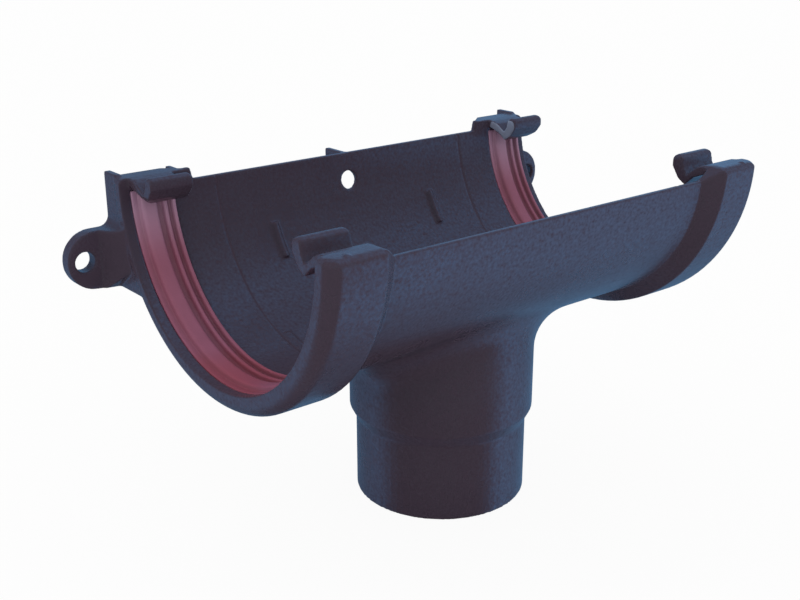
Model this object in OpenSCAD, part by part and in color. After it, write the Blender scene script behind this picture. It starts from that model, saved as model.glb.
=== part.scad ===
// Running outlet for a half-round rainwater gutter.
// One moulded body carries two gutter sockets, four clips, a downpipe spigot and the fascia
// fixings, and a rubber seal is seated in each socket.
// X runs along the gutter, Y points to the fascia board and Z points up.
// The origin is on the spigot's axis, in the plane of its lower rim.

/* [Trough] */
// Outside radius of the trough
trough_r = 63.1; // [61:0.1:66]
// Thickness of the trough's wall
trough_wall = 2.2; // [1.8:0.1:2.6]
// Height of the trough's axis above the spigot's lower rim
axis_height = 130.6; // [126:0.2:150]
// How far the trough's front rim lies below its axis
front_rim_drop = 4.9; // [3:0.1:7]
// How far the trough's back rim lies below its axis
back_rim_drop = 4.1; // [3:0.1:7]

/* [Sockets] */
// Distance from the middle of the outlet to each socket's end
socket_end = 102.7; // [98:0.1:125]
// Length of the rounded nose at the socket's end
nose_len = 4; // [3:0.25:5]
// How far the nose turns in towards the gutter
nose_drop = 4.4; // [2:0.1:5]
// Radius of the corner between the nose and the collar's top
nose_top_r = 2.4; // [1:0.1:3]
// Length of the collar at its full radius
collar_len = 17.2; // [16:0.1:24]
// How far the collar stands out from the trough
collar_rise = 5.8; // [5:0.1:9]
// Length of the cone between the collar and the trough
shoulder_len = 7.1; // [4:0.1:10]
// Radius of the rounding along the outer edge of the front collar's top
collar_top_r = 3; // [1:0.1:3.5]
// Distance that the front collar's top starts to fall away before the cone
collar_top_ease = 1.5; // [0:0.1:3]
// Radius of the corner where it does
collar_top_bend = 5; // [3:0.5:8]
// How far the back of the collar's top runs past the cone, towards the middle
back_top_len = 2.2; // [0.5:0.1:3]
// Width of the small block that ends the back of the collar's top
end_block_len = 3; // [1.5:0.1:4]
// Height of that block above the collar's top
end_block_rise = 0.3; // [0.2:0.1:1]
// How much wider the socket's mouth is than the trough, on the radius
mouth_ease = 0.3; // [0.1:0.1:1.5]

/* [Seals] */
// Width of the seal along the socket
seal_len = 17; // [15:0.2:18]
// Width of the plain lip between the socket's end and the seal
lip_len = 4.3; // [2.5:0.1:5]
// Depth of the seat that holds the seal, from the mouth
seat_depth = 2.4; // [1.8:0.1:3]
// Clearance between the seal and its seat
seal_clear = 0.1; // [0.05:0.05:0.2]
// How far the seal's ribs stand in from the mouth
seal_proud = 1.8; // [0.8:0.1:2.4]
// Depth of the grooves between the seal's ribs
seal_groove = 2; // [1:0.1:2.6]
// How far the seal's ends lie below the collar's top
seal_end_drop = 5; // [4:0.2:8]

/* [Clips] */
// Length of the front clips along the socket
clip_len = 19; // [12:0.5:20]
// Distance from the socket's end to a front clip's end
clip_setback = 3.6; // [3:0.1:8]
// Length of the back clips
back_clip_len = 17.4; // [12:0.2:20]
// Distance from the socket's end to a back clip's end
back_clip_setback = 4; // [3:0.1:8]
// Radius of the lower outer corner of the back clips
back_clip_low_r = 4; // [1:0.25:5]
// How far the clip's bead reaches in from the mouth
clip_reach = 14.6; // [12:0.2:17]
// Depth of the front clips' fold below the collar's top
clip_fold = 5.6; // [4:0.2:8]
// Depth of the back clips' fold below the collar's top
back_clip_fold = 4.1; // [3:0.1:8]
// Thickness of the clip's folded strip
clip_wall = 2.9; // [2:0.1:3.5]
// Radius of the bead along the clip's edge
clip_bead_r = 2.3; // [1.6:0.1:3]
// Height of the front clips' bead above the collar's top
clip_rise = 2; // [1:0.1:5]
// Height of the back clips' bead above the collar's top
back_clip_rise = 2.5; // [1:0.1:5]
// Radius of the corners at the ends of the bead
clip_corner_r = 2; // [0.8:0.1:2.5]

/* [Spigot] */
// Outside radius of the spigot, which enters the downpipe's socket
spigot_r = 34; // [31:0.25:36]
// Wall of the spigot and of the sleeve above it
spigot_wall = 3; // [2:0.1:4]
// Length of the spigot below its step
spigot_len = 31; // [25:0.5:50]
// Length of the tapered step, which the downpipe's socket stops against
step_len = 5; // [2:0.5:8]
// How far the sleeve above the step stands out
sleeve_rise = 2.6; // [1.5:0.1:4]
// Radius of the blend between the sleeve and the trough
blend_r = 18; // [12:0.5:20]

/* [Fascia fixings] */
// Distance from the spigot's axis to the fascia board
fascia_gap = 74.5; // [73:0.5:90]
// Thickness of the screw ears
ear_t = 6; // [4:0.2:8]
// Radius of each ear's round end
ear_r = 11.2; // [9:0.1:14]
// Distance from the socket's end to the middle of the ear's round end
ear_out = 7.6; // [6:0.1:14]
// How far the ear's middle lies below the trough's axis
ear_drop = 30.8; // [24:0.2:40]
// Radius of the screw holes in the ears
ear_hole_r = 3.9; // [2.5:0.1:5]
// How far each screw hole lies outside the middle of the ear's round end
ear_hole_out = 4.4; // [0:0.1:5]
// Radius of the hollow corner between the ear and its end rib
ear_fillet_r = 3.9; // [2:0.1:8]
// Width of the sloping brace between the ear and the collar, along X
ear_brace = 6.5; // [4:0.5:12]
// Height that the brace's lower edge rises on its way to the collar
ear_brace_rise = 9.5; // [6:0.5:14]
// Thickness of the ribs that stand against the fascia board
rib_t = 2.6; // [2:0.1:4]
// Height of the end rib's top above the collar's top
rib_rise = 0.8; // [0.2:0.1:2]
// Length of that raised top, from the fascia board
rib_top_len = 9; // [6:0.5:11]
// How far the end rib reaches below the ear's middle
rib_below_ear = 11.8; // [11:0.1:18]
// Distance of the one rib behind the left shoulder from the middle
shoulder_rib_x = 75.6; // [74:0.1:78]
// Thickness of that rib
shoulder_rib_t = 2.4; // [2:0.1:4]
// How far that rib's top lies below the collar's top
shoulder_rib_drop = 1; // [0.5:0.1:3]
// Height of the rib behind the middle of the trough
middle_rib_len = 6; // [3:0.5:7]
// Radius of the screw hole in the trough's back wall
back_hole_r = 3.75; // [2.5:0.25:5]
// How far the back wall's screw hole lies below the trough's rim
back_hole_drop = 11.2; // [8:0.1:16]

/* [Marks inside the trough] */
// Distance of the gutter's stop line from the middle
stop_line_x = 62.4; // [55:0.1:70]
// Width of the stop line
stop_line_w = 0.9; // [0.5:0.1:1.5]
// Depth of the stop line
stop_line_deep = 0.35; // [0.2:0.05:0.6]
// Distance of the wall lugs from the middle
lug_x = 40.5; // [36:0.5:50]
// Width of the wall lugs along X
lug_w = 3.6; // [2:0.2:6]
// How far the wall lugs stand in from the wall
lug_rise = 1.4; // [0.8:0.1:2.5]
// Distance of the two low lugs, which lie beside the stop lines, from the middle
low_lug_x = 59.4; // [55:0.1:61]
// Height of the low lugs
low_lug_rise = 0.9; // [0.5:0.1:1.5]

/* [Pips on the front collars] */
// Distance of each pip from the socket's end
pip_setback = 8.2; // [6:0.1:12]
// Radius of the pip
pip_r = 0.9; // [0.6:0.1:1.2]
// Height of the pip
pip_rise = 0.5; // [0.3:0.1:1]

/* [Hidden] */
$fn = 96;

// Overlap that makes joined shapes one solid
bite = 0.5;
// The same for the inner edge of a blend, which lies along two curved surfaces
web_bite = 1.7;
// Depth that a blend is sunk, so that it crosses the surfaces it touches
hair = 0.04;
// Length that takes a cutting shape past whatever it cuts
past = 60;
// How far the nose bows out
nose_bow = 0.7;

trough_in_r = trough_r - trough_wall;
collar_r = trough_r + collar_rise;
mouth_r = trough_in_r + mouth_ease;
front_rim_z = axis_height - front_rim_drop;
back_rim_z = axis_height - back_rim_drop;
collar_top_z = axis_height;

collar_out_x = socket_end - nose_len;
collar_in_x = collar_out_x - collar_len;
shoulder_x = collar_in_x - shoulder_len;
back_top_x = shoulder_x - back_top_len;

seal_out_x = socket_end - lip_len;
seal_in_x = seal_out_x - seal_len;
seat_r = mouth_r + seat_depth;
seal_top_z = collar_top_z - seal_end_drop;

// How far a front clip's root is trimmed to the falling end of the collar's top
clip_root_trim = 4.5;

sleeve_r = spigot_r + sleeve_rise;
spigot_bore_r = spigot_r - spigot_wall;
sleeve_bore_r = sleeve_r - spigot_wall;
step_top_z = spigot_len + step_len;
blend_in_r = blend_r + (spigot_wall + trough_wall) / 2;

ear_x = socket_end + ear_out;
ear_z = axis_height - ear_drop;
ear_front_y = fascia_gap - ear_t;
rib_out_x = socket_end - 0.7;
rib_low_z = ear_z - rib_below_ear;

// Turns a drawing of X against radius into a ring round the trough's axis
module about_axis(turn = 360, from = 0)
    translate([0, 0, axis_height])
        rotate([from, 0, 0])
            rotate([0, 90, 0])
                rotate([0, 0, 90])
                    rotate_extrude(angle = turn)
                        children();

// Points of an arc, both ends included
function arc(c, r, a0, a1, steps) =
    [for (i = [0:steps]) let (a = a0 + (a1 - a0) * i / steps) c + r * [cos(a), sin(a)]];

// Radius and centre of the arc through a and b that bows out by h to the left of a to b
function bow_r(a, b, h) = (norm(b - a) ^ 2 / 4 + h * h) / (2 * h);
function bow(a, b, h, steps) =
    let (
        r = bow_r(a, b, h),
        along = (b - a) / norm(b - a),
        side = [-along[1], along[0]],
        c = (a + b) / 2 + side * (h - r),
        a0 = atan2(a[1] - c[1], a[0] - c[0]),
        a1 = atan2(b[1] - c[1], b[0] - c[0])
    )
    arc(c, r, a0, a1, steps);

// Outer section of one half, as radius against distance from the middle
module outer_half() {
    nose = bow([collar_r - nose_drop, socket_end], [collar_r, collar_out_x], nose_bow, 6);
    polygon(concat(
        [[0, 0], [0, socket_end]],
        nose,
        [[collar_r, collar_in_x], [trough_r, shoulder_x], [trough_r, 0]]
    ));
}

// Inner section of one half: trough and mouth
module inner_half() {
    polygon([
        [0, -bite], [0, socket_end + bite],
        [mouth_r, socket_end + bite], [mouth_r, seal_in_x + bite],
        [trough_in_r, seal_in_x + bite], [trough_in_r, -bite]
    ]);
}

// Groove that holds one seal, closed just above the seal's ends
module seal_seat() {
    difference() {
        about_axis()
            translate([0, seal_in_x])
                square([seat_r, seal_out_x - seal_in_x]);
        translate([0, -collar_r, seal_top_z + seal_clear])
            cube([socket_end, 2 * collar_r, 2 * collar_r]);
    }
}

module trough_outside() {
    about_axis() outer_half();
    mirror([1, 0, 0]) about_axis() outer_half();
}

module trough_inside() {
    for (side = [0, 1])
        mirror([side, 0, 0]) {
            about_axis() inner_half();
            seal_seat();
        }
}

// Ring that fills the corner where an upright round meets the trough, with a rolling-ball
// blend tangent to both. The same ring with the inner radii rounds the mouth of the bore.
module saddle_blend(upright_r, level_r, ball_r) {
    turns = 72;
    steps = 8;
    ring_r = upright_r + ball_r;
    reach = level_r + ball_r;
    function centre(a) =
        let (y = ring_r * sin(a))
        [ring_r * cos(a), y, axis_height - sqrt(reach * reach - y * y)];
    function to_upright(a) = [-cos(a), -sin(a), 0];
    function to_level(a) =
        let (c = centre(a)) [0, -c[1], axis_height - c[2]] / reach;
    function between(u, v, t) =
        let (w = acos(u * v)) (sin((1 - t) * w) * u + sin(t * w) * v) / sin(w);
    function section(a) =
        let (c = centre(a), u = to_upright(a), v = to_level(a), half = acos(u * v) / 2)
        concat(
            [for (i = [0:steps]) c + ball_r * between(u, v, i / steps)],
            [c + (ball_r / cos(half) + web_bite) * between(u, v, 0.5)]
        );
    points = [for (i = [0:turns - 1]) each section(360 * i / turns)];
    size = steps + 2;
    faces = [
        for (i = [0:turns - 1], j = [0:size - 1])
            let (k = (i + 1) % turns, n = (j + 1) % size)
            each [
                [i * size + j, k * size + n, k * size + j],
                [i * size + j, i * size + n, k * size + n]
            ]
    ];
    polyhedron(points, faces);
}

module spigot_outside() {
    cylinder(r = spigot_r, h = spigot_len + bite);
    translate([0, 0, spigot_len])
        cylinder(r1 = spigot_r, r2 = sleeve_r, h = step_len);
    translate([0, 0, step_top_z])
        cylinder(r = sleeve_r, h = axis_height - step_top_z - sleeve_r);
    saddle_blend(sleeve_r - hair, trough_r - hair, blend_r);
}

module spigot_inside() {
    translate([0, 0, -bite])
        cylinder(r = spigot_bore_r, h = spigot_len + 2 * bite);
    translate([0, 0, spigot_len])
        cylinder(r1 = spigot_bore_r, r2 = sleeve_bore_r, h = step_len);
    translate([0, 0, step_top_z])
        cylinder(r = sleeve_bore_r, h = axis_height - step_top_z);
    saddle_blend(sleeve_bore_r - hair, trough_in_r - hair, blend_in_r);
}

// Top of the rounded corner over a socket's end, and the face below it
top_end = concat(
    arc([socket_end - nose_top_r, collar_top_z - nose_top_r], nose_top_r, 90, 0, 5),
    [[socket_end + bite, collar_top_z - nose_top_r]]
);
top_roof = [
    [socket_end + bite, collar_top_z + past + collar_r], [0, collar_top_z + past + collar_r]
];

// Everything above the front rim, shoulder and collar of the right-hand half
module above_front() {
    rotate([90, 0, 0])
        linear_extrude(collar_r + past)
            polygon(concat(
                [[0, front_rim_z], [shoulder_x, front_rim_z]],
                arc([collar_in_x + collar_top_ease, collar_top_z - collar_top_bend],
                    collar_top_bend, 124, 90, 5),
                top_end, top_roof
            ));
}

// The same at the back, where a small block ends the collar's top
module above_back() {
    translate([0, collar_r + past, 0])
        rotate([90, 0, 0])
            linear_extrude(collar_r + past)
                polygon(concat(
                    [
                        [0, back_rim_z], [back_top_x, back_rim_z],
                        [back_top_x + 1, collar_top_z + end_block_rise],
                        [back_top_x + end_block_len, collar_top_z + end_block_rise],
                        [back_top_x + end_block_len, collar_top_z]
                    ],
                    top_end, top_roof
                ));
}

// Bar with one hollow corner, which rounds an edge that it is laid along
module edge_cutter(len) {
    rotate([90, 0, 90])
        difference() {
            translate([-bite, -collar_top_r])
                cube([collar_top_r + bite, collar_top_r + bite, len]);
            translate([collar_top_r, -collar_top_r, -bite])
                cylinder(r = collar_top_r, h = len + 2 * bite);
        }
}

// What rounds the outer edge of the front collar's top, over its nose too
module front_edge() {
    nose_turn = atan2(nose_drop, nose_len);
    translate([0, -collar_r, collar_top_z])
        edge_cutter(socket_end + bite);
    translate([collar_out_x, -collar_r, collar_top_z])
        rotate([0, 0, nose_turn])
            translate([-collar_top_r, -nose_bow, 0])
                edge_cutter(3 * nose_len);
}

// Low pip on the outer side of each front collar's top
module pips() {
    for (side = [-1, 1])
        translate([side * (socket_end - pip_setback), collar_top_r - collar_r, collar_top_z - bite])
            cylinder(r = pip_r, h = pip_rise + bite);
}

// Section of a clip, as distance in from the mouth against height above the collar's top:
// a strip that dips from the collar's rim to a fold and turns up to a beaded edge
module clip_section(depth, rise) {
    fold = [clip_reach - clip_bead_r * 1.9, -depth];
    bead = [clip_reach, rise - clip_bead_r];
    heel = [clip_reach - clip_bead_r * 0.3, -depth - clip_wall * 0.6];
    toe = [fold[0] + 0.4, -depth - clip_wall * 1.3];
    polygon([
        [-bite, 0], [fold[0] * 0.26, -depth * 0.07],
        [fold[0] * 0.55, -depth * 0.29], [fold[0] * 0.81, -depth * 0.7],
        fold,
        [fold[0] + clip_bead_r * 0.7, -depth * 0.46],
        bead - [clip_bead_r, 0], bead + [clip_bead_r, 0],
        [clip_reach + clip_bead_r * 1.05, -depth * 0.45],
        heel, toe,
        [fold[0] * 0.68, -depth * 0.55 - clip_wall],
        [-bite, -clip_wall]
    ]);
    translate(bead) circle(clip_bead_r);
}

// View of a clip from inside the trough, which rounds the ends of its bead and, at the outer
// end, its lower corner
module clip_face(len, depth, rise, low_r) {
    low = -depth - clip_wall * 1.35;
    r = clip_corner_r;
    polygon(concat(
        [[0, low - bite]],
        arc([r, rise - r], r, 180, 90, 4),
        arc([len - r, rise - r], r, 90, 0, 4),
        arc([len - low_r, low + low_r], low_r, 0, -90, 6),
        [[len - low_r, low - bite]]
    ));
}

// One clip at the front of the right-hand socket
module clip(len, setback, depth, rise, low_r) {
    translate([socket_end - setback - len, -mouth_r, collar_top_z])
        intersection() {
            rotate([90, 0, 90])
                linear_extrude(len)
                    clip_section(depth, rise);
            translate([0, clip_reach + past / 2, 0])
                rotate([90, 0, 0])
                    linear_extrude(clip_reach + past)
                        clip_face(len, depth, rise, low_r);
        }
}

module clips() {
    for (end = [0, 1])
        mirror([end, 0, 0]) {
            difference() {
                clip(clip_len, clip_setback, clip_fold, clip_rise, clip_corner_r / 2);
                translate([0, clip_root_trim - mouth_r, 0]) above_front();
            }
            mirror([0, 1, 0])
                clip(back_clip_len, back_clip_setback, back_clip_fold, back_clip_rise, back_clip_low_r);
        }
}

// Front view of an ear with its round end and the hollow corner above it
module ear_outline() {
    top = ear_z + ear_r;
    corner = [rib_out_x + ear_fillet_r, top + ear_fillet_r];
    difference() {
        union() {
            translate([ear_x, ear_z]) circle(ear_r);
            translate([rib_out_x - rib_t, rib_low_z])
                square([rib_t, top + ear_fillet_r - rib_low_z]);
            polygon([
                [rib_out_x - bite, rib_low_z], [rib_out_x - bite, top + ear_fillet_r],
                [corner[0] - ear_fillet_r, corner[1]], [corner[0], top],
                [ear_x, top], [ear_x, ear_z - ear_r], [ear_x - ear_r * 0.7, rib_low_z]
            ]);
            translate([rib_out_x - bite, top])
                square([ear_fillet_r + bite, ear_fillet_r]);
        }
        translate(corner) circle(ear_fillet_r);
    }
}

// Side view of an ear: the plate and the brace's lower edge, which rises to the collar
module ear_side() {
    polygon([
        [fascia_gap, 0], [ear_front_y, 0], [ear_front_y, rib_low_z],
        [ear_front_y - ear_brace_rise * 1.35, rib_low_z + ear_brace_rise],
        [0, rib_low_z + ear_brace_rise * 1.5], [0, axis_height], [fascia_gap, axis_height]
    ]);
}

// Top view of an ear: a plate on the fascia plane with a sloping brace back to the collar
module ear_plan() {
    brace_y = ear_front_y - ear_brace * 1.7;
    polygon([
        [rib_out_x - rib_t, fascia_gap], [ear_x + ear_r, fascia_gap],
        [ear_x + ear_r, ear_front_y], [rib_out_x + ear_brace, ear_front_y],
        [rib_out_x, brace_y], [rib_out_x - rib_t, brace_y - rib_t]
    ]);
}

module ear() {
    difference() {
        intersection() {
            translate([0, fascia_gap, 0])
                rotate([90, 0, 0])
                    linear_extrude(fascia_gap)
                        ear_outline();
            linear_extrude(axis_height)
                ear_plan();
            rotate([90, 0, 90])
                linear_extrude(ear_x + past)
                    ear_side();
        }
        translate([ear_x + ear_hole_out, fascia_gap + bite, ear_z])
            rotate([90, 0, 0])
                cylinder(r = ear_hole_r, h = fascia_gap);
    }
}

// Upright rib from the collar's back to the fascia plane
module end_rib() {
    translate([rib_out_x - rib_t, 0, rib_low_z])
        cube([rib_t, fascia_gap, collar_top_z + bite - rib_low_z]);
}

// Raised top of an end rib, which runs on across the collar's top
module rib_top() {
    translate([rib_out_x - rib_t, fascia_gap, collar_top_z])
        rotate([90, 0, 90])
            linear_extrude(rib_t)
                polygon([
                    [0, -rib_top_len], [0, rib_rise], [-rib_top_len, rib_rise],
                    [-rib_top_len - 2, -bite], [-3, -rib_top_len]
                ]);
}

// Rib behind the left shoulder, a little below the collar's top
module shoulder_rib() {
    rib_high_z = collar_top_z - shoulder_rib_drop;
    translate([-shoulder_rib_x - shoulder_rib_t / 2, 0, rib_low_z])
        cube([shoulder_rib_t, fascia_gap, rib_high_z - rib_low_z]);
}

// Rib behind the middle of the trough, level with its back rim
module middle_rib() {
    translate([-rib_t / 2, 0, back_rim_z - middle_rib_len])
        cube([rib_t, fascia_gap, middle_rib_len + bite]);
}

module back_hole() {
    translate([0, fascia_gap + bite, back_rim_z - back_hole_drop])
        rotate([90, 0, 0])
            cylinder(r = back_hole_r, h = fascia_gap);
}

module stop_lines() {
    for (side = [0, 1])
        mirror([side, 0, 0])
            about_axis()
                translate([0, stop_line_x - stop_line_w / 2])
                    square([trough_in_r + stop_line_deep, stop_line_w]);
}

// Rounded lug on the back wall, between two angles below the trough's axis
module lug(from_middle, rise, high, low) {
    round_r = (lug_w * lug_w / 4 + rise * rise) / (2 * rise);
    about_axis(low - high, -low)
        intersection() {
            translate([trough_in_r - rise, from_middle - lug_w / 2])
                square([rise + bite, lug_w]);
            translate([trough_in_r - rise + round_r, from_middle]) circle(round_r);
        }
}

// Lugs that stop a gutter that is pushed in too far
module lugs() {
    for (side = [0, 1])
        mirror([side, 0, 0]) {
            lug(lug_x, lug_rise, 25, 39);
            lug(low_lug_x, low_lug_rise, 71, 82);
        }
}

module outlet_body() {
    color([0.17, 0.2, 0.27])
        union() {
            difference() {
                union() {
                    trough_outside();
                    spigot_outside();
                    for (side = [0, 1]) mirror([side, 0, 0]) { end_rib(); ear(); }
                    shoulder_rib();
                    middle_rib();
                }
                trough_inside();
                spigot_inside();
                for (side = [0, 1])
                    mirror([side, 0, 0]) { above_front(); above_back(); front_edge(); }
                back_hole();
                stop_lines();
            }
            clips();
            lugs();
            pips();
            for (side = [0, 1]) mirror([side, 0, 0]) rib_top();
        }
}

// Section of a seal along X: a flat, a broad rib, a groove, a narrow rib and a lip
module seal_section() {
    out_r = seat_r - seal_clear;
    rib_r = mouth_r - seal_proud;
    low_r = rib_r + seal_groove;
    len = seal_len - 2 * seal_clear;
    polygon([
        [out_r, 0], [mouth_r, 0], [mouth_r, len * 0.15],
        [rib_r + 0.3, len * 0.19], [rib_r, len * 0.26], [rib_r, len * 0.48],
        [rib_r + 0.4, len * 0.54], [low_r, len * 0.57], [low_r, len * 0.69],
        [rib_r + 0.5, len * 0.72], [rib_r + 0.5, len * 0.8],
        [low_r - 0.6, len * 0.83], [low_r - 0.6, len * 0.88],
        [rib_r - 0.2, len * 0.91], [rib_r - 0.2, len * 0.98], [rib_r + 0.2, len],
        [out_r, len]
    ]);
}

// Both seals face the same way along X, which the photo shows
module seal(from_x) {
    color([0.5, 0.2, 0.27])
        difference() {
            about_axis()
                translate([0, from_x + seal_clear])
                    seal_section();
            translate([-socket_end, -collar_r, seal_top_z])
                cube([2 * socket_end, 2 * collar_r, 2 * collar_r]);
        }
}

module left_seal() { seal(-seal_out_x); }
module right_seal() { seal(seal_in_x); }

outlet_body();
left_seal();
right_seal();
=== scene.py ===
"""Looks of a half-round gutter's running outlet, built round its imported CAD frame.

The moulded body and its two rubber seals are dressed with copies of their own solids, whose
hard edges are rounded as a mould rounds them. Lengths are in metres unless a name ends in _mm.
"""

import logging
import math
from dataclasses import dataclass
from enum import Enum

import bpy
from mathutils import Matrix, Vector

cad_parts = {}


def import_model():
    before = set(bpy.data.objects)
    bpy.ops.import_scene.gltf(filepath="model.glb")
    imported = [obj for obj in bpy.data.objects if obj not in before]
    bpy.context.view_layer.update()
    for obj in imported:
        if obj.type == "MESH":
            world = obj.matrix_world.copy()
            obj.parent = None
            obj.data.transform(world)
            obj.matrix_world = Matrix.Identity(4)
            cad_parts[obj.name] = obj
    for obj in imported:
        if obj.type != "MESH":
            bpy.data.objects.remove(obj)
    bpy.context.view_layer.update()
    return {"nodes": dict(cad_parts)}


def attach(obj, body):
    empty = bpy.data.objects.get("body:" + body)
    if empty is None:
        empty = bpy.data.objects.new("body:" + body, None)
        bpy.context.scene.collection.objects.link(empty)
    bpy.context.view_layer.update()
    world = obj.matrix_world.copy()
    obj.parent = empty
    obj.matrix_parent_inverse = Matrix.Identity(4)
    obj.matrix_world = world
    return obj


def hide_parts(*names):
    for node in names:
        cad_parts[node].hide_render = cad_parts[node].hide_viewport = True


log = logging.getLogger("outlet")
MM = 0.001
Colour = tuple[float, float, float, float]
Place = tuple[float, float, float]
Levels = tuple[tuple[float, float], ...]


def linear(hex_colour: str) -> Colour:
    """Turns an sRGB hex colour into a linear one, by the standard's own curve.

    Args:
        hex_colour: Six hex digits.

    Returns:
        Red, green, blue and alpha for a shader socket.
    """
    parts = [int(hex_colour[i : i + 2], 16) / 255 for i in (0, 2, 4)]
    red, green, blue = (
        p / 12.92 if p <= 0.04045 else ((p + 0.055) / 1.055) ** 2.4 for p in parts
    )
    return (red, green, blue, 1.0)


def deselect_all() -> None:
    """Leaves object mode with nothing selected."""
    if bpy.context.mode != "OBJECT":
        bpy.ops.object.mode_set(mode="OBJECT")
    for obj in list(bpy.context.selected_objects):
        obj.select_set(False)


def make_active(obj: bpy.types.Object) -> None:
    """Selects one object alone and makes it the active one.

    Args:
        obj: The object that the next operators act on.
    """
    deselect_all()
    obj.select_set(True)
    bpy.context.view_layer.objects.active = obj


def cleared_tree(owner: bpy.types.Material | bpy.types.World) -> bpy.types.NodeTree:
    """Turns on a material's or a world's nodes and empties its tree.

    Args:
        owner: The material or the world.

    Returns:
        The empty tree.
    """
    owner.use_nodes = True
    owner.node_tree.nodes.clear()
    return owner.node_tree


def add_node(
    tree: bpy.types.NodeTree,
    kind: str,
    settings: dict | None = None,
    links: dict | None = None,
) -> bpy.types.Node:
    """Adds one node with its settings and its links.

    Args:
        tree: The tree that gets the node.
        kind: The node's type name.
        settings: Values by attribute name, or by input socket name or number.
        links: Sockets of other nodes by input socket name or number.

    Returns:
        The new node.
    """
    node = tree.nodes.new(kind)
    for name, value in (settings or {}).items():
        if isinstance(name, str) and hasattr(node, name):
            setattr(node, name, value)
        else:
            node.inputs[name].default_value = value
    for name, source in (links or {}).items():
        tree.links.new(source, node.inputs[name])
    return node


class Finish(Enum):
    """The record's material slots."""

    BODY = "body_plastic"
    SEAL = "seal_rubber"


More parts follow.
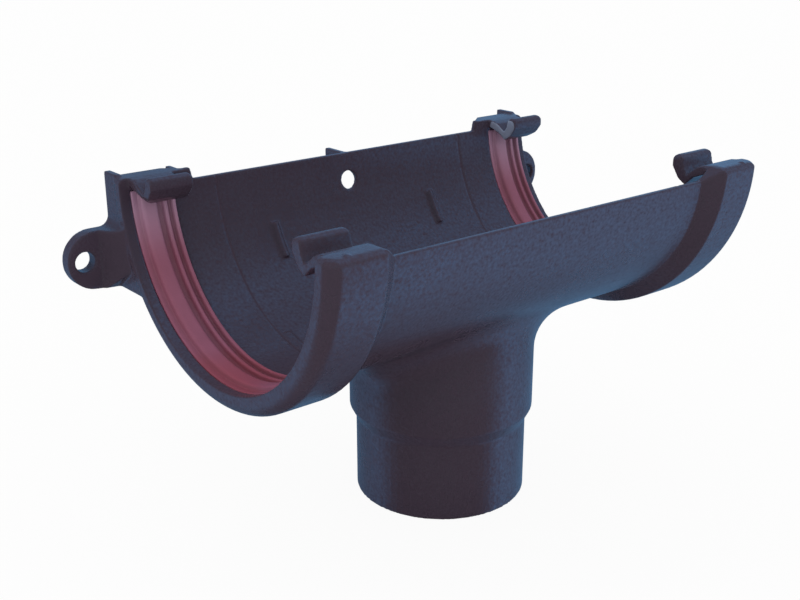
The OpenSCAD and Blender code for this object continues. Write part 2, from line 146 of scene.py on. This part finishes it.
@dataclass(frozen=True)
class MouldedPlastic:
    """Mass-coloured rigid PVC, injection moulded in a tool with a cast-iron texture.

    The eye gets a dark plum-grey whose satin skin picks up a steel-blue sheen of the room, broken
    up by shallow dimples a millimetre or two across.
    """

    base: str = "443945"
    base_worn: str = "493D4A"
    sheen: str = "DAEDFF"
    gloss: float = 0.6
    gloss_spread: float = 2.7
    ior: float = 1.53
    roughness_low: float = 0.24
    roughness_high: float = 0.34
    # Sizes of the cast texture's features, as coarse as they show, and how deep they go.
    cloud_mm: float = 28
    dimple_mm: float = 1.6
    grain_mm: float = 1.2
    dimple_deep_mm: float = 0.07
    grain_deep_mm: float = 0.03
    # Span of the clouds' noise over which the roughness goes from low to high.
    cloud_low: float = 0.3
    cloud_high: float = 0.7
    # The two stop lines across the channel: their distance from the middle, their half width
    # and the share of it that is fully matt, and how much of the gloss they lose.
    stop_line: float = 62.4 * MM
    stop_line_half: float = 0.55 * MM
    stop_line_core: float = 0.5
    stop_line_matt: float = 0.75
    # The channel that they lie in: its radius and its axis's height.
    channel_r: float = 61.9 * MM
    channel_axis: float = 130.6 * MM
    # The painted highlight on the right back clip's inner end: its pale colour, its middle, the
    # radius and half thickness of the disc that holds it, and the share of them within which it
    # is fully pale. The left one is its mirror image.
    end_highlight: str = "7E869C"
    end_highlight_at: Place = (81.3 * MM, 51.5 * MM, 126.5 * MM)
    end_highlight_r: float = 8.6 * MM
    end_highlight_deep: float = 0.5 * MM
    end_highlight_core: float = 0.95

    def material(self) -> bpy.types.Material:
        """Builds the material.

        Returns:
            The material, ready to assign.
        """
        mat = bpy.data.materials.new("moulded_pvc_cast_effect")
        tree = cleared_tree(mat)
        place = add_node(tree, "ShaderNodeTexCoord").outputs["Object"]
        apart = add_node(tree, "ShaderNodeSeparateXYZ", links={"Vector": place})
        # The two ends match, so a spot is found by its distance from the middle.
        across = add_node(
            tree,
            "ShaderNodeMath",
            {"operation": "ABSOLUTE"},
            {0: apart.outputs["X"]},
        ).outputs["Value"]
        mirrored = add_node(
            tree,
            "ShaderNodeCombineXYZ",
            links={"X": across, "Y": apart.outputs["Y"], "Z": apart.outputs["Z"]},
        ).outputs["Vector"]
        # A noise of scale s has features about 1 / s metres across.
        dimples, grain, clouds = (
            add_node(
                tree,
                "ShaderNodeTexNoise",
                {"Scale": 1 / (size_mm * MM), "Detail": detail, "Roughness": roughness},
                {"Vector": place},
            ).outputs["Fac"]
            for size_mm, detail, roughness in (
                (self.dimple_mm, 2.0, 0.55),
                (self.grain_mm, 1.0, 0.5),
                (self.cloud_mm, 3.0, 0.6),
            )
        )
        colour = add_node(
            tree,
            "ShaderNodeMix",
            {"data_type": "RGBA", 6: linear(self.base), 7: linear(self.base_worn)},
            {0: clouds},
        )
        # A pale highlight painted on the back clips' inner ends.
        tone = add_node(
            tree,
            "ShaderNodeMix",
            {"data_type": "RGBA", 7: linear(self.end_highlight)},
            {0: self.add_end_highlights(tree, mirrored), 6: colour.outputs[2]},
        )
        rough = add_node(
            tree,
            "ShaderNodeMapRange",
            {
                "From Min": self.cloud_low,
                "From Max": self.cloud_high,
                "To Min": self.roughness_low,
                "To Max": self.roughness_high,
            },
            {"Value": clouds},
        )
        # The tops of the grain are burnished, so they catch more of the room than its pits do.
        gloss = add_node(
            tree,
            "ShaderNodeMapRange",
            {
                "From Min": 0.0,
                "From Max": 1.0,
                "To Min": self.gloss * (1 - self.gloss_spread / 2),
                "To Max": self.gloss * (1 + self.gloss_spread / 2),
            },
            {"Value": grain},
        )
        unlined = add_node(
            tree,
            "ShaderNodeMath",
            {"operation": "MULTIPLY_ADD", 1: -self.stop_line_matt, 2: 1.0},
            {0: self.add_stop_lines(tree, mirrored, across)},
        )
        shine = add_node(
            tree,
            "ShaderNodeMath",
            {"operation": "MULTIPLY"},
            {0: gloss.outputs["Result"], 1: unlined.outputs["Value"]},
        )
        fine = add_node(
            tree,
            "ShaderNodeBump",
            {"Strength": 1.0, "Distance": self.grain_deep_mm * MM},
            {"Height": grain},
        )
        broad = add_node(
            tree,
            "ShaderNodeBump",
            {"Strength": 1.0, "Distance": self.dimple_deep_mm * MM},
            {"Height": dimples, "Normal": fine.outputs["Normal"]},
        )
        shader = add_node(
            tree,
            "ShaderNodeBsdfPrincipled",
            {"IOR": self.ior, "Specular Tint": linear(self.sheen)},
            {
                "Base Color": tone.outputs[2],
                "Specular IOR Level": shine.outputs["Value"],
                "Roughness": rough.outputs["Result"],
                "Normal": broad.outputs["Normal"],
            },
        )
        add_node(
            tree,
            "ShaderNodeOutputMaterial",
            links={"Surface": shader.outputs["BSDF"]},
        )
        return mat

    def add_end_highlights(
        self, tree: bpy.types.NodeTree, mirrored: bpy.types.NodeSocket
    ) -> bpy.types.NodeSocket:
        """Finds the back clips' inner ends, where a pale highlight is painted.

        Args:
            tree: The material's tree.
            mirrored: The object coordinates, with the left half folded on to the right.

        Returns:
            A factor that is 1 on those two faces and 0 elsewhere.
        """
        off = add_node(
            tree,
            "ShaderNodeVectorMath",
            {"operation": "SUBTRACT", 1: self.end_highlight_at},
            {0: mirrored},
        )
        # Stretched along the clip, the flat disc becomes a ball.
        stretched = add_node(
            tree,
            "ShaderNodeVectorMath",
            {"operation": "MULTIPLY", 1: (self.end_highlight_r / self.end_highlight_deep, 1, 1)},
            {0: off.outputs["Vector"]},
        )
        reach = add_node(
            tree,
            "ShaderNodeVectorMath",
            {"operation": "LENGTH"},
            {0: stretched.outputs["Vector"]},
        )
        return add_node(
            tree,
            "ShaderNodeMapRange",
            {
                "interpolation_type": "SMOOTHSTEP",
                "From Min": self.end_highlight_r,
                "From Max": self.end_highlight_core * self.end_highlight_r,
            },
            {"Value": reach.outputs["Value"]},
        ).outputs["Result"]

    def add_stop_lines(
        self,
        tree: bpy.types.NodeTree,
        mirrored: bpy.types.NodeSocket,
        across: bpy.types.NodeSocket,
    ) -> bpy.types.NodeSocket:
        """Finds the two shallow stop lines inside the channel, which lose gloss along them.

        Args:
            tree: The material's tree.
            mirrored: The object coordinates, with the left half folded on to the right.
            across: The distance from the middle.

        Returns:
            A factor that is 1 in the middle of a stop line and 0 elsewhere.
        """
        off = add_node(
            tree,
            "ShaderNodeMath",
            {"operation": "SUBTRACT", 1: self.stop_line},
            {0: across},
        )
        near = add_node(
            tree,
            "ShaderNodeMath",
            {"operation": "ABSOLUTE"},
            {0: off.outputs["Value"]},
        )
        on_line = add_node(
            tree,
            "ShaderNodeMapRange",
            {
                "interpolation_type": "SMOOTHSTEP",
                "From Min": self.stop_line_half,
                "From Max": self.stop_line_core * self.stop_line_half,
            },
            {"Value": near.outputs["Value"]},
        )
        from_axis = add_node(
            tree,
            "ShaderNodeVectorMath",
            {"operation": "SUBTRACT", 1: (0, 0, self.channel_axis)},
            {0: mirrored},
        )
        in_section = add_node(
            tree,
            "ShaderNodeVectorMath",
            {"operation": "MULTIPLY", 1: (0, 1, 1)},
            {0: from_axis.outputs["Vector"]},
        )
        radius = add_node(
            tree,
            "ShaderNodeVectorMath",
            {"operation": "LENGTH"},
            {0: in_section.outputs["Vector"]},
        )
        inside = add_node(
            tree,
            "ShaderNodeMath",
            {"operation": "LESS_THAN", 1: self.channel_r},
            {0: radius.outputs["Value"]},
        )
        return add_node(
            tree,
            "ShaderNodeMath",
            {"operation": "MULTIPLY"},
            {0: on_line.outputs["Result"], 1: inside.outputs["Value"]},
        ).outputs["Value"]


@dataclass(frozen=True)
class SealRubber:
    """Dyed EPDM rubber, extruded and cut to length.

    The eye gets a dusty maroon, with painted shade in the grooves between the ribs, a painted
    light that pales it to mauve towards the strip's upper ends, and a darker crimson at its foot.
    """

    base: str = "A15473"
    deep: str = "904861"
    sheen: str = "FFF0E6"
    gloss: float = 1.0
    ior: float = 1.5
    roughness: float = 0.6
    # Sizes of the mottling and of the grain, and how deep the grain goes. The rubber's own
    # grain is too fine to show, so it is drawn coarser.
    cloud_mm: float = 9
    grain_mm: float = 0.5
    grain_deep_mm: float = 0.012
    # Heights between which the painted light at the top and the darker foot come in.
    top_light: str = "B88DAC"
    top_light_from: float = 98 * MM
    top_light_to: float = 126 * MM
    # A darker crimson towards the foot.
    foot_tone: str = "9B4056"
    foot_tone_from: float = 75 * MM
    foot_tone_to: float = 70.5 * MM
    # The painted shade in the grooves between the ribs: its tint, the distance for which they are
    # open at most, and the share of open directions at which a spot counts as fully deep.
    groove_shade: str = "B4A4AA"
    groove_mm: float = 2.6
    groove_open: float = 0.5

    def material(self) -> bpy.types.Material:
        """Builds the material.

        Returns:
            The material, ready to assign.
        """
        mat = bpy.data.materials.new("epdm_rubber_maroon")
        tree = cleared_tree(mat)
        place = add_node(tree, "ShaderNodeTexCoord").outputs["Object"]
        clouds = add_node(
            tree,
            "ShaderNodeTexNoise",
            {"Scale": 1 / (self.cloud_mm * MM), "Detail": 3.0, "Roughness": 0.6},
            {"Vector": place},
        )
        grain = add_node(
            tree,
            "ShaderNodeTexNoise",
            {"Scale": 1 / (self.grain_mm * MM), "Detail": 2.0},
            {"Vector": place},
        )
        tone = add_node(
            tree,
            "ShaderNodeMix",
            {"data_type": "RGBA", 6: linear(self.deep), 7: linear(self.base)},
            {0: clouds.outputs["Fac"]},
        )
        apart = add_node(tree, "ShaderNodeSeparateXYZ", links={"Vector": place})
        # Painted light pales the strip towards its upper ends, and the foot turns a darker
        # crimson.
        for hex_colour, start, end in (
            (self.top_light, self.top_light_from, self.top_light_to),
            (self.foot_tone, self.foot_tone_from, self.foot_tone_to),
        ):
            share = add_node(
                tree,
                "ShaderNodeMapRange",
                {
                    "interpolation_type": "SMOOTHSTEP",
                    "From Min": start,
                    "From Max": end,
                },
                {"Value": apart.outputs["Z"]},
            )
            tone = add_node(
                tree,
                "ShaderNodeMix",
                {"data_type": "RGBA", 7: linear(hex_colour)},
                {0: share.outputs["Result"], 6: tone.outputs[2]},
            )
        # Painted shade in the grooves, darker where less of the room is open to them.
        open_way = add_node(
            tree,
            "ShaderNodeAmbientOcclusion",
            {"only_local": True, "samples": 8, "Distance": self.groove_mm * MM},
        )
        shade_depth = add_node(
            tree,
            "ShaderNodeMapRange",
            {"From Min": 1.0, "From Max": self.groove_open},
            {"Value": open_way.outputs["AO"]},
        )
        groove_shaded = add_node(
            tree,
            "ShaderNodeMix",
            {"data_type": "RGBA", "blend_type": "MULTIPLY", 7: linear(self.groove_shade)},
            {0: shade_depth.outputs["Result"], 6: tone.outputs[2]},
        )
        bump = add_node(
            tree,
            "ShaderNodeBump",
            {"Strength": 1.0, "Distance": self.grain_deep_mm * MM},
            {"Height": grain.outputs["Fac"]},
        )
        shader = add_node(
            tree,
            "ShaderNodeBsdfPrincipled",
            {
                "Roughness": self.roughness,
                "IOR": self.ior,
                "Specular IOR Level": self.gloss,
                "Specular Tint": linear(self.sheen),
            },
            {"Base Color": groove_shaded.outputs[2], "Normal": bump.outputs["Normal"]},
        )
        add_node(
            tree,
            "ShaderNodeOutputMaterial",
            links={"Surface": shader.outputs["BSDF"]},
        )
        return mat


@dataclass
class RoundedSkin:
    """A visible skin cast from a CAD node's own mesh, with softened hard edges.

    Args:
        node: Name of the CAD node that the skin stands for.
        slot: The record's material slot; not used.
        cell: Size of the fine, even faces that the skin is cast in.
        passes: How often its edges are eased.
        triangles: How many triangles the finished skin keeps.
        join_within: Distance within which the loose triangles' corners are one.
        ease_share: How far each pass moves a corner towards its neighbours' middle.
    """

    node: str
    slot: Finish
    cell: float
    passes: int
    triangles: int
    join_within: float = 0.002 * MM
    ease_share: float = 0.5

    def build(
        self, nodes: dict[str, bpy.types.Object], material: bpy.types.Material
    ) -> bpy.types.Object:
        """Copies the node, merges it, rounds its edges and dresses it.

        Args:
            nodes: The CAD nodes by name.
            material: The finish's material.

        Returns:
            The finished skin.
        """
        skin = self.merged_copy(nodes[self.node])
        self.cast_evenly(skin)
        self.ease_edges(skin)
        self.thin_out(skin)
        skin.data.materials.clear()
        skin.data.materials.append(material)
        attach(skin, "root")
        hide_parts(self.node)
        log.info("%s: %d faces", skin.name, len(skin.data.polygons))
        return skin

    def merged_copy(self, source: bpy.types.Object) -> bpy.types.Object:
        """Copies a node's loose triangles and joins them.

        Args:
            source: The CAD node.

        Returns:
            A closed mesh of the same shape.
        """
        skin = source.copy()
        skin.data = source.data.copy()
        skin.name = self.node + "_skin"
        for key in list(skin.keys()):
            del skin[key]
        skin.parent = None
        bpy.context.scene.collection.objects.link(skin)
        make_active(skin)
        bpy.ops.object.mode_set(mode="EDIT")
        bpy.ops.mesh.select_all(action="SELECT")
        bpy.ops.mesh.remove_doubles(threshold=self.join_within)
        bpy.ops.object.mode_set(mode="OBJECT")
        return skin

    def cast_evenly(self, skin: bpy.types.Object) -> None:
        """Casts the skin in fine, even faces.

        Args:
            skin: The merged copy.
        """
        make_active(skin)
        cast = skin.modifiers.new("fine_cast", "REMESH")
        cast.mode = "VOXEL"
        cast.voxel_size = self.cell
        bpy.ops.object.modifier_apply(modifier=cast.name)

    def ease_edges(self, skin: bpy.types.Object) -> None:
        """Eases the hard edges, over about half a cell times the square root of the passes.

        Args:
            skin: The cast skin, which is the active object.
        """
        ease = skin.modifiers.new("eased_edges", "SMOOTH")
        ease.factor = self.ease_share
        ease.iterations = self.passes
        bpy.ops.object.modifier_apply(modifier=ease.name)

    def thin_out(self, skin: bpy.types.Object) -> None:
        """Takes faces out of the broad surfaces, where they aren't needed.

        Args:
            skin: The eased skin, which is the active object.
        """
        thin = skin.modifiers.new("thinned_out", "DECIMATE")
        # The cast's faces have four sides, so each counts as two triangles.
        thin.ratio = min(1.0, self.triangles / (2 * len(skin.data.polygons)))
        bpy.ops.object.modifier_apply(modifier=thin.name)
        bpy.ops.object.shade_smooth()


@dataclass
class OutletBody(RoundedSkin):
    """The moulded body, whose sleeve runs out into the trough in a broad blend.

    Args:
        blend_inner: Radius from the spigot's axis at which the blend's zone starts.
        blend_outer: Radius at which it ends.
        blend_top: Height at which it ends.
        blend_passes: How often that zone is eased again.
    """

    node: str = "outlet_body"
    slot: Finish = Finish.BODY
    cell: float = 0.45 * MM
    passes: int = 6
    triangles: int = 190_000
    blend_inner: float = 38.5 * MM
    blend_outer: float = 57 * MM
    blend_top: float = 100 * MM
    blend_passes: int = 30

    def ease_edges(self, skin: bpy.types.Object) -> None:
        """Eases the edges, then the blend, which runs out to nothing at its rim.

        Args:
            skin: The cast skin, which is the active object.
        """
        super().ease_edges(skin)
        zone = skin.vertex_groups.new(name="blend")
        inside = [
            vert.index
            for vert in skin.data.vertices
            if vert.co.z < self.blend_top
            and self.blend_inner < math.hypot(vert.co.x, vert.co.y) < self.blend_outer
        ]
        zone.add(inside, 1.0, "REPLACE")
        ease = skin.modifiers.new("eased_blend", "SMOOTH")
        ease.factor = self.ease_share
        ease.iterations = self.blend_passes
        ease.vertex_group = zone.name
        bpy.ops.object.modifier_apply(modifier=ease.name)
        skin.vertex_groups.clear()


@dataclass
class SocketSeal(RoundedSkin):
    """The rubber seal of one socket, whose fine ribs take finer cells than the body."""

    slot: Finish = Finish.SEAL
    cell: float = 0.3 * MM
    passes: int = 5
    triangles: int = 50_000


@dataclass(frozen=True)
class SoftLamp:
    """One square lamp, broad and weak, that surfaces don't mirror.

    Args:
        name: The lamp's name.
        place: Where it hangs.
        size: Its side.
        power: Its power in watts.
    """

    name: str
    place: Place
    size: float
    power: float = 0.1

    def build(self, aim: Place) -> None:
        """Hangs the lamp.

        Args:
            aim: The point that it faces.
        """
        data = bpy.data.lights.new(self.name, "AREA")
        data.shape = "SQUARE"
        data.size = self.size
        data.energy = self.power
        lamp = bpy.data.objects.new(self.name, data)
        bpy.context.scene.collection.objects.link(lamp)
        lamp.location = self.place
        way = Vector(aim) - Vector(self.place)
        lamp.rotation_euler = way.to_track_quat("-Z", "Y").to_euler()
        lamp.visible_glossy = False


@dataclass(frozen=True)
class Studio:
    """Pale floor, white surround, soft lamps and the photograph's viewpoint."""

    # The camera, fitted to the photograph.
    eye: Place = (-0.281366, -0.318128, 0.227714)
    yaw: float = math.radians(50.706)
    pitch: float = math.radians(19.423)
    roll: float = math.radians(-0.104)
    lens_mm: float = 51.729
    sensor_mm: float = 36.0
    near: float = 0.01
    # The even light, which falls from the first level at the horizon to the second one at that
    # height of a direction.
    ambient: float = 1.0
    ambient_above: float = 0.85
    ambient_height: float = 0.8
    # The room that the surfaces mirror.
    room_blue: str = "86C6FF"
    room_level: float = 1.5
    # Its levels low down and high up. Each pair is how far a direction faces the viewpoint,
    # from -1 to 1, and the level there.
    levels_below: Levels = (
        (-0.80, 0.38),
        (-0.50, 0.42),
        (-0.10, 0.70),
        (0.03, 0.82),
        (0.13, 0.54),
        (0.24, 0.38),
        (0.38, 0.0),
    )
    levels_above: Levels = (
        (-0.85, 0.58),
        (-0.50, 0.20),
        (-0.17, 0.60),
        (0.00, 0.26),
        (0.20, 0.06),
    )
    # Heights of a direction between which the upper levels take over from the lower ones.
    upper_band: tuple[float, float] = (-0.15, 0.20)
    # The left side is dimmer, and so is what lies steeply below. Each band is the span of a
    # direction's leftward or upward part over which its share comes in.
    side_band: tuple[float, float] = (-0.3, 0.3)
    left_share: float = 0.62
    low_band: tuple[float, float] = (-0.92, -0.62)
    low_share: float = 0.1
    # One lamp on each side and one overhead, all aimed at the object's middle.
    lamps: tuple[SoftLamp, ...] = (
        SoftLamp("soft_lamp_left", (-0.9, -0.1, 0.7), 0.8),
        SoftLamp("soft_lamp_right", (0.9, -0.5, 0.6), 0.8),
        SoftLamp("soft_lamp_top", (0.0, 0.2, 1.1), 1.0),
    )
    lamp_aim: Place = (0, 0, 0.08)
    # The floor: its side, its gap under the spigot's rim, its paint's grey, and the share of
    # plain white in what the camera sees of it, which leaves a soft shadow.
    floor_side: float = 12
    floor_gap: float = 0.0002
    floor_grey: float = 0.9
    floor_white: float = 0.94

    def build(self) -> None:
        """Builds the camera, the surround, the lamps and the floor."""
        self.add_camera()
        self.add_surround()
        for lamp in self.lamps:
            lamp.build(self.lamp_aim)
        self.add_floor()
        bpy.context.scene.view_settings.view_transform = "Standard"

    def add_camera(self) -> None:
        """Adds the camera at the photograph's viewpoint."""
        data = bpy.data.cameras.new("viewpoint")
        data.sensor_width = self.sensor_mm
        data.lens = self.lens_mm
        data.clip_start = self.near
        camera = bpy.data.objects.new("viewpoint", data)
        bpy.context.scene.collection.objects.link(camera)
        turn = (
            Matrix.Rotation(self.yaw - math.pi / 2, 4, "Z")
            @ Matrix.Rotation(math.pi / 2 - self.pitch, 4, "X")
            @ Matrix.Rotation(self.roll, 4, "Z")
        )
        camera.matrix_world = Matrix.Translation(self.eye) @ turn
        bpy.context.scene.camera = camera

    def add_surround(self) -> None:
        """Makes the room plain white to the camera and cool to what the surfaces mirror.

        Every other ray meets an even white room that is a little dimmer overhead.
        """
        world = bpy.data.worlds.new("white_room")
        tree = cleared_tree(world)
        path = add_node(tree, "ShaderNodeLightPath")
        way = add_node(tree, "ShaderNodeTexCoord").outputs["Generated"]
        apart = add_node(tree, "ShaderNodeSeparateXYZ", links={"Vector": way})
        height = apart.outputs["Z"]
        even = add_node(
            tree,
            "ShaderNodeMapRange",
            {
                "From Min": 0.0,
                "From Max": self.ambient_height,
                "To Min": self.ambient,
                "To Max": self.ambient_above,
            },
            {"Value": height},
        )
        glossy = add_node(
            tree,
            "ShaderNodeMix",
            {"data_type": "RGBA"},
            {
                0: path.outputs["Is Glossy Ray"],
                6: even.outputs["Result"],
                7: self.add_mirrored_room(tree, way, height),
            },
        )
        colour = add_node(
            tree,
            "ShaderNodeMix",
            {"data_type": "RGBA", 7: (1, 1, 1, 1)},
            {0: path.outputs["Is Camera Ray"], 6: glossy.outputs[2]},
        )
        background = add_node(
            tree,
            "ShaderNodeBackground",
            {"Strength": 1.0},
            {"Color": colour.outputs[2]},
        )
        add_node(
            tree,
            "ShaderNodeOutputWorld",
            links={"Surface": background.outputs["Background"]},
        )
        bpy.context.scene.world = world

    def add_mirrored_room(
        self,
        tree: bpy.types.NodeTree,
        way: bpy.types.NodeSocket,
        height: bpy.types.NodeSocket,
    ) -> bpy.types.NodeSocket:
        """Adds cool panels at both sides, weaker ones behind and an unlit viewpoint's side.

        Args:
            tree: The world's tree.
            way: The direction of the ray.
            height: Its upright share, from -1 to 1.

        Returns:
            The room's colour in that direction.
        """
        toward = Vector((self.eye[0], self.eye[1], 0)).normalized()
        leftward = Vector((toward.y, -toward.x, 0))
        facing, aside = (
            add_node(
                tree,
                "ShaderNodeVectorMath",
                {"operation": "DOT_PRODUCT", 1: axis},
                {0: way},
            ).outputs["Value"]
            for axis in (toward, leftward)
        )
        below, above = (
            self.add_panels(tree, facing, levels)
            for levels in (self.levels_below, self.levels_above)
        )
        upward, left, low = (
            add_node(
                tree,
                "ShaderNodeMapRange",
                {
                    "interpolation_type": "SMOOTHSTEP",
                    "From Min": start,
                    "From Max": end,
                    "To Min": first,
                    "To Max": last,
                },
                {"Value": measure},
            ).outputs["Result"]
            for measure, (start, end), first, last in (
                (height, self.upper_band, 0.0, 1.0),
                (aside, self.side_band, 1.0, self.left_share),
                (height, self.low_band, self.low_share, 1.0),
            )
        )
        panels = add_node(
            tree,
            "ShaderNodeMix",
            {"data_type": "RGBA"},
            {0: upward, 6: below, 7: above},
        )
        sides = add_node(
            tree,
            "ShaderNodeMath",
            {"operation": "MULTIPLY"},
            {0: left, 1: low},
        )
        level = add_node(
            tree,
            "ShaderNodeMath",
            {"operation": "MULTIPLY", 1: self.room_level},
            {0: sides.outputs["Value"]},
        )
        blue = add_node(
            tree,
            "ShaderNodeVectorMath",
            {"operation": "SCALE", 0: linear(self.room_blue)[:3]},
            {"Scale": level.outputs["Value"]},
        )
        return add_node(
            tree,
            "ShaderNodeVectorMath",
            {"operation": "MULTIPLY"},
            {0: blue.outputs["Vector"], 1: panels.outputs[2]},
        ).outputs["Vector"]

    def add_panels(
        self,
        tree: bpy.types.NodeTree,
        facing: bpy.types.NodeSocket,
        levels: Levels,
    ) -> bpy.types.NodeSocket:
        """Adds a ramp that gives the room's level round the object.

        Args:
            tree: The world's tree.
            facing: How far a direction faces the viewpoint, from -1 to 1.
            levels: Pairs of that measure and the level there.

        Returns:
            The level as a grey.
        """
        # A ramp reads from 0 to 1 and has two elements from the start.
        half = add_node(
            tree,
            "ShaderNodeMath",
            {"operation": "MULTIPLY_ADD", 1: 0.5, 2: 0.5},
            {0: facing},
        )
        panels = add_node(
            tree, "ShaderNodeValToRGB", links={"Fac": half.outputs["Value"]}
        )
        ramp = panels.color_ramp
        ramp.interpolation = "EASE"
        for _ in levels[2:]:
            ramp.elements.new(0.5)
        for element, (at, level) in zip(ramp.elements, levels):
            element.position = (at + 1) / 2
            element.color = (level, level, level, 1)
        return panels.outputs["Color"]

    def add_floor(self) -> None:
        """Adds a pale floor that keeps a soft shadow and shows as white."""
        deselect_all()
        bpy.ops.mesh.primitive_plane_add(
            size=self.floor_side, location=(0, 0, -self.floor_gap)
        )
        floor = bpy.context.object
        floor.name = "floor"
        mat = bpy.data.materials.new("matt_white_sweep")
        tree = cleared_tree(mat)
        path = add_node(tree, "ShaderNodeLightPath")
        grey = (self.floor_grey, self.floor_grey, self.floor_grey, 1)
        matt = add_node(tree, "ShaderNodeBsdfDiffuse", {"Color": grey})
        glow = add_node(tree, "ShaderNodeEmission", {"Color": (1, 1, 1, 1)})
        share = add_node(
            tree,
            "ShaderNodeMath",
            {"operation": "MULTIPLY", 1: self.floor_white},
            {0: path.outputs["Is Camera Ray"]},
        )
        mix = add_node(
            tree,
            "ShaderNodeMixShader",
            links={
                0: share.outputs["Value"],
                1: matt.outputs["BSDF"],
                2: glow.outputs["Emission"],
            },
        )
        add_node(
            tree,
            "ShaderNodeOutputMaterial",
            links={"Surface": mix.outputs["Shader"]},
        )
        floor.data.materials.append(mat)
        floor.visible_glossy = False


def main() -> None:
    """Loads the frame and builds the outlet and its studio in order."""
    logging.basicConfig(level=logging.INFO, format="%(message)s")
    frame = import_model()
    deselect_all()
    nodes = frame["nodes"]
    OutletBody().build(nodes, MouldedPlastic().material())
    rubber = SealRubber().material()
    for name in ("left_seal", "right_seal"):
        SocketSeal(name).build(nodes, rubber)
    Studio().build()


if __name__ == "__main__":
    main()
